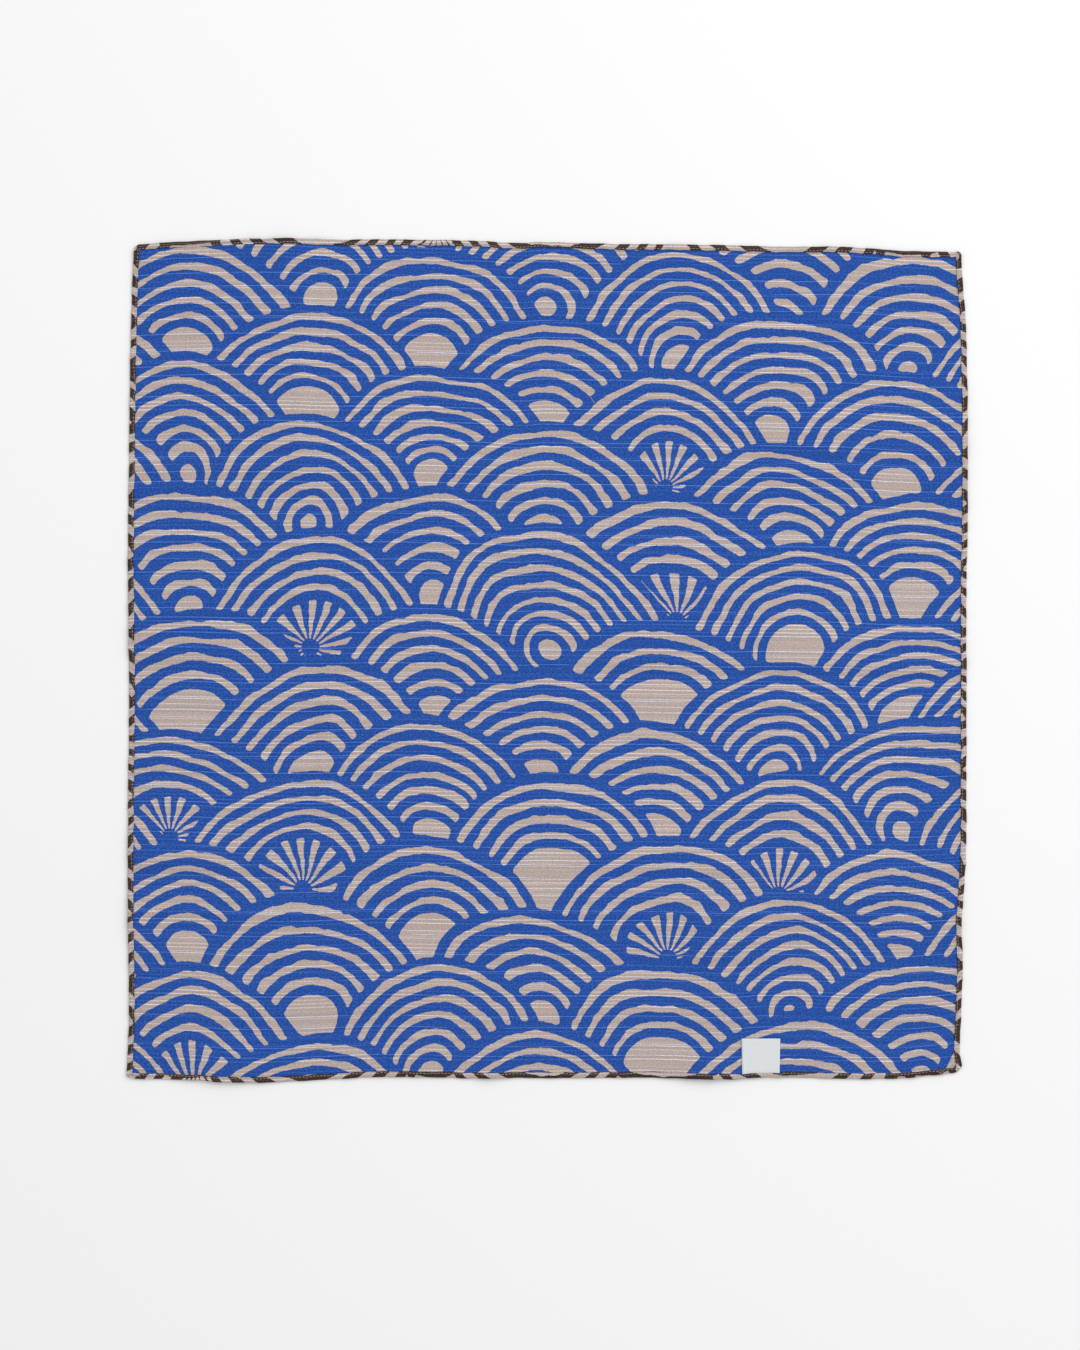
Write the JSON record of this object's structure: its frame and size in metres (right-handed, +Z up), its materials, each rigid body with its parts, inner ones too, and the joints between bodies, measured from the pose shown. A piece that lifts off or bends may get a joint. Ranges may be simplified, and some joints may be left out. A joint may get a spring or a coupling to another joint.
{
  "type": "furoshiki wrapping cloth",
  "caption": "Square printed cotton wrapping cloth with a rolled hem and a sewn-in label, laid out flat with its face up.",
  "frame": {"origin": "middle of the cloth's outline, on the surface that it lies on", "axes": "+Z up out of the face, +X to the right and +Y towards the top edge, so the label is at the lower right"},
  "size_m": [0.4826, 0.4848, 0.004],
  "materials": {
    "printed_cotton": "slubby plain-weave cotton, taupe ground printed in blue on the face and in dark brown on the reverse, matt",
    "label_satin": "white woven satin, bare, soft sheen",
    "sewing_thread": "pale beige twisted sewing thread"
  },
  "bodies": {
    "root": {"cloth": "printed_cotton", "label": "label_satin"}
  },
  "joints": []
}
